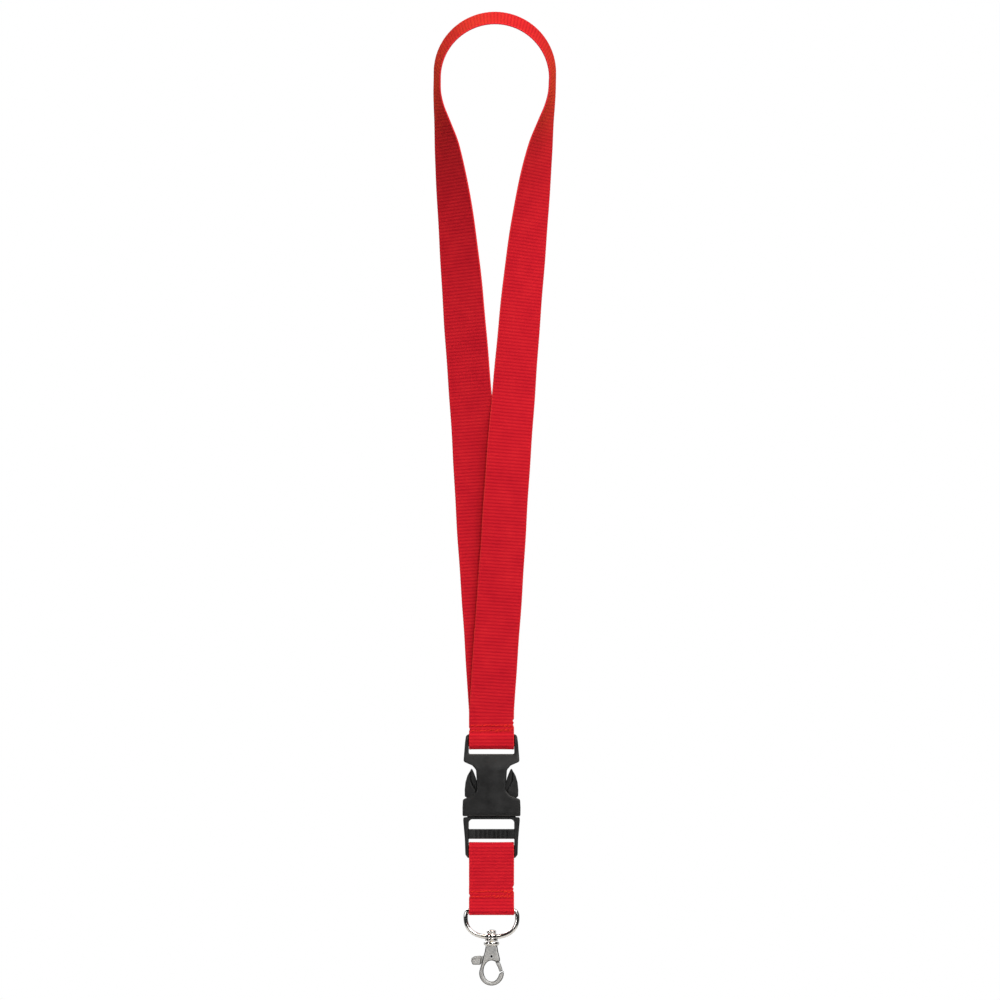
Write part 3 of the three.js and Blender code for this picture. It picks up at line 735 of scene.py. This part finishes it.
lower_points = [(0, 0, z) for z in np.linspace(lower_sewn_top - 0.4, lower_sewn_bottom, 5)]
lower_points += arc(0, D_BAR_Z, RING_LOOP, 50, -190)
lower_points += [(0, -LAYER, z) for z in np.linspace(lower_sewn_bottom, lower_sewn_top, 5)]
lower_points += [(0, -LEG, flex_z), (0, -FOLD_RADIUS, lower_fold_z - 0.5)]
lower_points += arc(0, lower_fold_z, FOLD_RADIUS, 180, 0)
lower_points += [(0, FOLD_RADIUS, lower_fold_z - 0.5), (0, LEG, flex_z)]
lower_points += [(0, LAYER, z) for z in np.linspace(lower_sewn_top, lower_sewn_bottom, 5)]
lower_path = [(Vector(p), -ACROSS) for p in lower_points]
lower_pulls = seam_pulls(lower_path, LOWER_SEAM_Z, [(2.0, 1, 0.6), (4.0, 1, 0.8), (-1.0, -1, 0.5)])


def lower_waver(at, side):
    """How far an edge of the lower webbing wanders from straight."""
    drift = 0.04 * math.sin(at / 9 + side) + 0.03 * math.sin(at / 4.3 + 2 * side)
    return drift + pulled(at, side, lower_pulls)


lower_webbing, lower_length = band("lower_webbing", lower_path, lower_waver)
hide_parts("lower_strap_fold", "lower_strap")

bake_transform(neck_webbing)
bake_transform(lower_webbing)

# ------------------------------------------------------------------ stitches


def thread_radius(t):
    """The thread's radius along a stitch, thinner where it dips in."""
    return 0.27 - 0.08 * abs(2 * t - 1) ** 4 + 0.02 * math.sin(40 * t)


def stitch(x0, z0, x1, z1, y, outward):
    """One stitch lying on a face at y: it dips into the cloth at both ends."""
    path = []
    for k in range(11):
        t = k / 10
        lift = 0.32 * math.sin(math.pi * t) ** 0.6 - 0.14
        path.append((x0 + (x1 - x0) * t, y + outward * lift, z0 + (z1 - z0) * t))
    return tube(path, thread_radius, 8, up=Vector((0, 0, 1)))


def seam(name, z, face, body, node):
    """Two rows of stitches on both faces, the second one gone over again towards the right."""
    parts = []
    for outward in (-1, 1):
        y = outward * face
        rows = [(z + 1.45, z + 1.75, 11, 0.5, -11.6), (z - 1.5, z - 0.55, 11, 0.65, -11.5)]
        if outward < 0:
            rows.append((z - 1.75, z - 1.3, 4, 0.7, 1.6))
            rows.append((z + 0.95, z + 1.3, 2, 0.6, 6.6))
        for row, (left, right, count, slant, start) in enumerate(rows):
            pitch = 2.3 if start < 0 else 2.45
            for i in range(count - 1 if start < 0 else count):
                x0 = start + i * pitch + 0.15 * math.sin(7 * i + row)
                x1 = min(x0 + pitch * 0.93, 12.0)
                share = (x0 + 12) / 24
                base = left + (right - left) * share + 0.08 * math.sin(5 * i + 2 * row)
                parts.append(stitch(x0, base - slant / 2, x1, base + slant / 2, y, outward))
    parts.append(stitch(11.7, z - 0.6, 11.95, z + 1.9, -0.97 * face, -1))
    obj = make_object(name, *merged(*parts), thread, "thread")
    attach(obj, body)
    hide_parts(node)


SEWN_FACE = LAYER + THICKNESS / 2 - 0.04
seam("neck_seam_stitches", NECK_SEAM_Z, SEWN_FACE, "socket", "neck_seam_thread")
seam("lower_seam_stitches", LOWER_SEAM_Z, SEWN_FACE, "lower_strap", "lower_seam_thread")

# ------------------------------------------------------------------ buckle


def mirrored_outline(half):
    """A closed outline (x, z, radius) from its right half, listed from top to bottom."""
    return fillet(half + [(-x, z, r) for x, z, r in reversed(half)])


SLOT_HALF = 12.62
CAVITY_HALF_DEPTH = 2.45


def socket_depth(x, z):
    """Half the socket's thickness: thin at the end bar, full at the mouth, crowned across."""
    frame_part = 1.35 + 0.75 * smoothstep(45.7, 42.2, z)
    body = frame_part + 1.85 * smoothstep(36.0, 25.5, z)
    crown = 0.18 * smoothstep(8.5, 0, abs(x)) * smoothstep(34, 27, z)
    end_bar = 0.95 * smoothstep(37.6, 39.4, z) * smoothstep(13.0, 12.6, abs(x))
    lip = 0.14 * smoothstep(1.6, 0.6, z)
    return max(1.05, body + crown - end_bar - lip)


socket_outline = mirrored_outline(
    [
        (14.1, 45.7, 2.2),
        (14.75, 41.0, 4.0),
        (15.6, 30.3, 1.5),
        (10.7, 28.2, 2.2),
        (8.6, 25.8, 2.6),
        (8.25, 20.0, 5.0),
        (8.1, 14.3, 2.0),
        (10.2, 11.7, 1.8),
        (15.9, 9.4, 1.4),
        (16.15, 5.0, 3.0),
        (16.1, 0.0, 0.8),
    ]
)
socket_slot = fillet(
    [(-SLOT_HALF, 39.1, 0.4), (SLOT_HALF, 39.1, 0.4), (SLOT_HALF, 34.6, 0.9), (-SLOT_HALF, 34.6, 0.9)]
)
socket = make_object(
    "buckle_socket_moulding",
    *moved(moulded(socket_outline, [socket_slot], socket_depth, 0.75), dz=MOUTH_Z),
    acetal,
    "acetal",
)
cavity = block((-13.9, 13.9), (-CAVITY_HALF_DEPTH, CAVITY_HALF_DEPTH), (-1, 27.2))
carved(socket, cutter(moved(cavity, dz=MOUTH_Z)))
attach(socket, "socket")
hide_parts("buckle_socket")


def arm_part(side):
    """The spring arm on one side: a slim leaf that bends at its root, and on it a thumb pad and the
    catch's tongue with a groove between them."""
    leaf = [
        (10.9, 1.85, 0.3),
        (13.4, 1.85, 0.3),
        (13.4, 10.0, 0.8),
        (14.6, 10.9, 0.5),
        (14.8, 15.5, 3.0),
        (14.4, 19.3, 4.0),
        (12.9, 23.0, 4.0),
        (11.05, 27.0, 0.55),
        (9.9, 24.6, 1.5),
        (8.6, 21.3, 2.5),
        (7.7, 17.5, 3.0),
        (7.7, 14.0, 2.0),
        (9.6, 10.5, 2.0),
        (10.6, 7.0, 2.0),
    ]
    pad = [
        (11.7, 25.6, 0.5),
        (13.4, 22.6, 3.0),
        (14.5, 18.9, 4.0),
        (14.95, 14.5, 3.0),
        (14.85, 11.0, 0.5),
        (13.5, 10.3, 0.4),
        (13.4, 8.0, 0.5),
        (10.4, 8.0, 0.5),
        (8.8, 13.9, 1.0),
        (10.6, 16.9, 2.5),
        (11.8, 19.6, 2.5),
        (12.0, 22.8, 2.0),
    ]
    tongue = [
        (11.1, 26.8, 0.4),
        (9.9, 24.6, 1.5),
        (8.6, 21.3, 2.5),
        (7.7, 17.5, 2.0),
        (7.7, 13.6, 0.3),
        (8.3, 14.2, 0.3),
        (10.1, 17.1, 2.5),
        (11.25, 19.7, 2.5),
        (11.4, 22.8, 2.0),
        (11.3, 25.6, 0.6),
    ]
    parts = []
    for outline, depth, radius in ((leaf, 0.9, 0.35), (pad, 2.4, 0.45), (tongue, 1.9, 0.3)):
        flat = fillet([(side * x, z, r) for x, z, r in outline])
        parts.append(moulded(flat, [], depth, radius, grid=0.5))
    return moved(merged(*parts), dz=MOUTH_Z)


for arm_side, arm_name in ((1, "right"), (-1, "left")):
    arm = make_object(f"buckle_{arm_name}_arm_moulding", *arm_part(arm_side), acetal, "acetal")
    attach(arm, f"{arm_name}_arm")
    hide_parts(f"buckle_{arm_name}_arm")


GROOVES = 8
GROOVE_PITCH = 2.45
GROOVE_HALF = 0.42


def plug_depth(x, z):
    """Half the plug frame's thickness: full at the mouth, sunk bar, thin end bar inside the webbing."""
    rail = 2.6 - 0.75 * smoothstep(-13.0, -21.5, z) - 0.7 * smoothstep(-20.8, -23.2, z)
    between = smoothstep(13.0, 12.5, abs(x))
    if z > -2.2:
        return rail
    if z > -14:
        return rail + (1.1 - rail) * between
    return rail + (1.15 - rail) * between


def plug_ribs():
    """The raised lands of the middle bar, with a groove between each two."""
    groove_at = [(i - (GROOVES - 1) / 2) * GROOVE_PITCH for i in range(GROOVES)]
    edges = [-12.9] + [x + d for x in groove_at for d in (-GROOVE_HALF, GROOVE_HALF)] + [12.9]
    lands = []
    for x0, x1 in zip(edges[::2], edges[1::2]):
        land = fillet([(x0, -12.45, 0.4), (x1, -12.45, 0.4), (x1, -7.25, 0.4), (x0, -7.25, 0.4)])
        lands.append(moulded(land, [], 1.85, 0.35, grid=0.6, rings=3))
    return lands


plug_outline = mirrored_outline(
    [
        (13.4, -0.45, 0.3),
        (15.65, -0.6, 0.7),
        (15.75, -2.4, 2.0),
        (14.85, -12.5, 6.0),
        (14.55, -21.3, 1.8),
        (13.2, -23.2, 1.0),
    ]
)
upper_slot = fillet([(-12.55, -1.7, 2.0), (12.55, -1.7, 2.0), (12.6, -7.1, 0.4), (-12.6, -7.1, 0.4)])
lower_slot = fillet(
    [(-SLOT_HALF, -12.6, 0.3), (SLOT_HALF, -12.6, 0.3), (SLOT_HALF, -16.3, 0.4), (-SLOT_HALF, -16.3, 0.4)]
)
frame_part = moulded(plug_outline, [upper_slot, lower_slot], plug_depth, 0.45, grid=0.5)
neck_outline = fillet([(-13.5, -1.4, 0.4), (13.5, -1.4, 0.4), (13.5, 1.65, 0.5), (-13.5, 1.65, 0.5)])
neck_part = moulded(neck_outline, [], 2.1, 0.35)
tongue_outline = fillet([(-3.2, 0.8, 0.4), (3.2, 0.8, 0.4), (3.2, 18, 1.2), (-3.2, 18, 1.2)])
tongue_part = moulded(tongue_outline, [], 1.5, 0.4)
plug = make_object(
    "buckle_plug_moulding",
    *moved(merged(frame_part, neck_part, tongue_part, *plug_ribs()), dz=MOUTH_Z),
    acetal,
    "acetal",
)
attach(plug, "plug")
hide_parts("buckle_plug")

# ------------------------------------------------------------------ D-ring

D_HALF_WIDTH = 14.35
D_SHOULDER = 3.4
D_DROP = D_BAR_Z - EYE_Z


def ring_path():
    """The wire's middle line: a straight side, tight corners, and a deep squarish curve below."""
    corner, squareness = 2.0, 2 / 2.4
    half = [(x, 0) for x in np.linspace(0.3, D_HALF_WIDTH - corner, 14)]
    for k in range(1, 11):
        angle = math.pi / 2 * k / 10
        x = D_HALF_WIDTH - corner + corner * math.sin(angle)
        half.append((x, -D_SHOULDER * (1 - math.cos(angle))))
    for k in range(1, 57):
        angle = math.pi / 2 * k / 56
        x = D_HALF_WIDTH * max(0.0, math.cos(angle)) ** squareness
        half.append((x, -D_SHOULDER - (D_DROP - D_SHOULDER) * math.sin(angle) ** squareness))
    left = [(-x, z) for x, z in half[:-1]][::-1]
    points = np.array(half + left)
    length = np.concatenate([[0], np.cumsum(np.linalg.norm(np.diff(points, axis=0), axis=1))])
    at = np.linspace(0, length[-1], 220)
    x, z = np.interp(at, length, points[:, 0]), np.interp(at, length, points[:, 1])
    return [(a, 0.0, b + D_BAR_Z) for a, b in zip(x, z)]


ring = make_object("d_ring_wire", *tube(ring_path(), D_WIRE, 28), nickel, "nickel", sharp=50)
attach(ring, "d_ring")
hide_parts("d_ring")

# ------------------------------------------------------------------ trigger hook, from the D-ring's wire

STEM_END = -4.6
RIVET_Z = -10.75
CHEEK_BOTTOM = -13.6
NOSE_TOP = -18.9
BOW_Z = -20.15
BOW_RADIUS = 6.85
EYE_HOLE_Z = -18.9
EYE_HOLE_HALF_WIDTH = 4.4
EYE_HOLE_HALF_HEIGHT = 5.85
COLLAR_BOTTOM = -5.0
RIVET_HOLE = 0.9
WIRE_BORE = 1.65

eye_profile = rounded_profile(
    [
        (0.0, STEM_END - 0.5, 0),
        (1.4, STEM_END - 0.5, 0.2),
        (1.4, STEM_END + 0.3, 0.1),
        (1.0, STEM_END + 0.3, 0.1),
        (1.0, -2.3, 0.1),
        (3.5, -2.3, 0.35),
        (3.7, -1.0, 0.3),
        (3.35, -0.75, 0.2),
        (3.65, -0.4, 0.25),
        (3.65, 1.0, 0.5),
        (3.05, 1.75, 0.3),
        (2.35, 1.95, 0.25),
        (2.65, 2.6, 0.4),
        (2.6, 3.5, 0.7),
        (1.4, 4.1, 0.6),
        (0.0, 4.1, 0),
    ]
)
eye = make_object("swivel_eye_turned", *moved(lathe(eye_profile[1:-1]), dz=EYE_Z), nickel, "nickel")
bore_path = [(x, 0, EYE_Z) for x in (-6, 6)]
carved(eye, cutter(tube(bore_path, WIRE_BORE, 40)), sharp=35)
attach(eye, "swivel")
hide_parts("swivel_eye")


def rivet_bore(reach):
    """A cutter for the rivet's hole, reaching as far each side of the middle."""
    ends = [(0, y, EYE_Z + RIVET_Z) for y in (-reach, reach)]
    return cutter(tube(ends, RIVET_HOLE, 32, up=Vector((0, 0, 1))))


def ellipse(centre_z, half_width, half_height, start, end, steps):
    """Points of part of an ellipse, between two angles in degrees."""
    angles = [math.radians(start + (end - start) * k / steps) for k in range(steps + 1)]
    return [(half_width * math.cos(a), centre_z + half_height * math.sin(a)) for a in angles]


def hook_depth(x, z):
    """Half the hook's thickness: slim at the bow, thicker at the cheeks."""
    return 1.5 + 0.8 * smoothstep(-17.5, -12.5, z)


bow_angles = np.radians(np.linspace(10, -196, 60))
bow = [(BOW_RADIUS * math.cos(a), BOW_Z + BOW_RADIUS * math.sin(a)) for a in bow_angles]
eye_hole = ellipse(EYE_HOLE_Z, EYE_HOLE_HALF_WIDTH, EYE_HOLE_HALF_HEIGHT, 80, 346, 84)
nose = [(4.6, -20.1), (5.2, -19.75), (5.9, -19.35), (6.6, NOSE_TOP - 0.05)]
hook_outline = (
    [(-6.1, -16.6), (-5.65, -15.1), (-5.15, -13.4), (-4.45, -10.7)]
    + [(-3.75, -8.0), (-3.4, -6.0), (-3.1, -4.2)]
    + [(3.1, -4.2), (3.4, -6.0), (3.75, -8.0), (4.4, -10.7), (4.8, -12.6), (4.6, CHEEK_BOTTOM)]
    + [(2.6, CHEEK_BOTTOM - 0.05), (1.7, CHEEK_BOTTOM + 0.1)]
    + eye_hole
    + nose
    + bow
)
hook_outline = densified(hook_outline, 0.5)
collar = lathe(
    rounded_profile(
        [
            (0.0, COLLAR_BOTTOM, 0),
            (3.1, COLLAR_BOTTOM, 0.2),
            (4.05, -4.45, 0.25),
            (4.3, -3.9, 0.3),
            (4.3, -3.2, 0.3),
            (3.95, -2.6, 0.3),
            (0.0, -2.6, 0),
        ]
    )[1:-1]
)
hook_parts = merged(moulded(hook_outline, [], hook_depth, 0.8, grid=0.5), collar)
hook = make_object("hook_body_cast", *moved(hook_parts, dz=EYE_Z), satin, "nickel")
gate_slot = cutter(moved(block((-9, 9), (-0.95, 0.95), (-15.9, -7.2)), dz=EYE_Z))
stem_bore = cutter(moved(lathe([(1.3, -4.4), (1.3, -1.0)], 32), dz=EYE_Z))
carved(hook, gate_slot, rivet_bore(5), stem_bore, sharp=32)
hook.data.materials.append(nickel)
for polygon in hook.data.polygons:
    polygon.material_index = 1 if polygon.center.z > (EYE_Z + COLLAR_BOTTOM - 0.02) * MM else 0
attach(hook, "hook")
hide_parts("hook_body")

rivet_profile = rounded_profile([(0, -1.3, 0), (0.75, -1.3, 0.2), (0.75, 1.3, 0.2), (0, 1.3, 0)])[1:-1]
rivet_verts, rivet_faces = lathe(rivet_profile, 32)
rivet_verts = [(x, z, EYE_Z + RIVET_Z + y) for x, y, z in rivet_verts]
rivet = make_object("gate_rivet_pin", rivet_verts, rivet_faces, near_black, "nickel")
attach(rivet, "hook")
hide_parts("gate_rivet")

SPRING_TURNS = 2
SPRING_RADIUS = 1.3
SPRING_STEPS = 96
SPRING_WIRE = 0.12
coil = []
for k in range(SPRING_STEPS + 1):
    angle = 2 * math.pi * SPRING_TURNS * k / SPRING_STEPS
    x, z = SPRING_RADIUS * math.cos(angle), SPRING_RADIUS * math.sin(angle)
    coil.append((x, 0.42 + 0.26 * k / SPRING_STEPS, EYE_Z + RIVET_Z + z))
spring = make_object("gate_spring_wire", *tube(coil, SPRING_WIRE, 8), steel, "spring_wire")
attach(spring, "hook")
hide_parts("gate_spring")

gate_web = moulded(
    fillet(
        [
            (-6.2, -10.9, 0.2),
            (-1.6, -9.4, 1.0),
            (1.2, -8.9, 1.0),
            (2.6, -10.0, 0.8),
            (4.5, -14.6, 0.2),
            (3.0, -14.8, 0.2),
            (1.2, -13.0, 0.8),
            (-1.6, -13.0, 0.8),
            (-6.2, -15.2, 0.2),
        ]
    ),
    [],
    0.65,
    0.12,
    rings=2,
)
gate_arm = moulded(
    fillet(
        [
            (2.1, -13.9, 0.3),
            (4.6, -13.9, 0.5),
            (5.5, -16.2, 2.0),
            (6.25, -18.65, 0.2),
            (4.5, -19.4, 0.3),
            (3.6, -16.9, 1.5),
            (2.6, -14.9, 1.5),
        ]
    ),
    [],
    1.4,
    0.5,
    grid=0.4,
)
lever_back = [
    (-5.7, -10.4, 0.2),
    (-5.7, CHEEK_BOTTOM, 0.3),
    (-6.1, -15.4, 0.3),
    (-10.5, -15.4, 0.9),
    (-11.4, -13.3, 1.5),
    (-11.0, -11.5, 1.2),
    (-9.4, -10.6, 0.9),
]
lever_face = [
    (-5.9, -11.5, 0.2),
    (-6.3, -15.2, 0.3),
    (-10.3, -15.2, 0.8),
    (-11.1, -13.4, 0.9),
    (-10.6, -12.4, 0.6),
    (-9.2, -11.8, 0.8),
]
lever_parts = [
    moulded(fillet(lever_back), [], 0.95, 0.35, grid=0.5),
    moulded(fillet(lever_face), [], 1.5, 0.4, grid=0.5),
]
gate_parts = merged(gate_web, gate_arm, *lever_parts)
gate = make_object("hook_gate_cast", *moved(gate_parts, dz=EYE_Z), satin, "nickel")
carved(gate, rivet_bore(3), sharp=35)
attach(gate, "gate")
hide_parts("hook_gate")

# ------------------------------------------------------------------ stage and light


def plain_material(name, colour):
    n = Nodes(name, Roughness=0.8)
    n.bsdf.inputs["Base Color"].default_value = (*colour, 1)
    return n.material


def stage_floor():
    """A round pale floor under the hanging lanyard."""
    verts = [(0, 0, FLOOR_Z)]
    angles = np.linspace(0, 2 * math.pi, FLOOR_SIDES + 1)[:-1]
    verts += [(FLOOR_RADIUS * math.cos(a), FLOOR_RADIUS * math.sin(a), FLOOR_Z) for a in angles]
    faces = [[0, 1 + k, 1 + (k + 1) % FLOOR_SIDES] for k in range(FLOOR_SIDES)]
    mesh = bpy.data.meshes.new("stage_floor")
    mesh.from_pydata(verts, [], faces)
    mesh.materials.append(plain_material("stage_white", (0.86, 0.86, 0.86)))
    obj = bpy.data.objects.new("stage_floor", mesh)
    bpy.context.scene.collection.objects.link(obj)


def area_light(name, location, target, size, power, colour=(1, 1, 1)):
    """A rectangular lamp turned to its target."""
    data = bpy.data.lights.new(name, "AREA")
    data.shape = "RECTANGLE"
    data.size, data.size_y = size
    data.energy = power
    data.color = colour
    obj = bpy.data.objects.new(name, data)
    obj.location = location
    obj.rotation_euler = (Vector(target) - Vector(location)).to_track_quat("-Z", "Y").to_euler()
    bpy.context.scene.collection.objects.link(obj)


def studio_world():
    """White to the eye, and for light a room that is dark in front and brightens to the back."""
    world = bpy.data.worlds.new("studio")
    world.use_nodes = True
    tree = world.node_tree
    white = tree.nodes["Background"]
    white.inputs["Color"].default_value = (1, 1, 1, 1)
    room = tree.nodes.new("ShaderNodeBackground")
    room.inputs["Strength"].default_value = 0.55
    direction = tree.nodes.new("ShaderNodeTexCoord")
    split = tree.nodes.new("ShaderNodeSeparateXYZ")
    shade = tree.nodes.new("ShaderNodeMapRange")
    shade.interpolation_type = "SMOOTHSTEP"
    for index, value in ((1, -0.15), (2, 0.7), (3, 0.03), (4, 1.0)):
        shade.inputs[index].default_value = value
    path = tree.nodes.new("ShaderNodeLightPath")
    mix = tree.nodes.new("ShaderNodeMixShader")
    tree.links.new(direction.outputs["Generated"], split.inputs[0])
    tree.links.new(split.outputs[1], shade.inputs[0])
    tree.links.new(shade.outputs[0], room.inputs["Color"])
    tree.links.new(path.outputs["Is Camera Ray"], mix.inputs[0])
    tree.links.new(room.outputs[0], mix.inputs[1])
    tree.links.new(white.outputs[0], mix.inputs[2])
    tree.links.new(mix.outputs[0], tree.nodes["World Output"].inputs["Surface"])
    bpy.context.scene.world = world


FLOOR_Z = -0.64
FLOOR_RADIUS = 0.34
FLOOR_SIDES = 96
stage_floor()
area_light("key", (1.2, -1.0, 0.88), (0, 0, -0.25), (0.9, 0.9), 17, (1.0, 0.96, 0.92))
area_light("top", (0.1, -0.6, 1.3), (0, 0, -0.2), (0.9, 0.4), 14, (1.0, 0.9, 0.75))
area_light("fill", (-1.5, -1.4, 0.1), (0, 0, -0.3), (0.35, 1.1), 10)
area_light("front", (0.62, -2.2, 0.35), (0, 0, -0.2), (0.4, 1.2), 11.5)
area_light("back", (-0.8, 2.2, 0.7), (0, 0, -0.25), (0.8, 0.8), 18)
studio_world()
bpy.context.scene.view_settings.view_transform = "Standard"
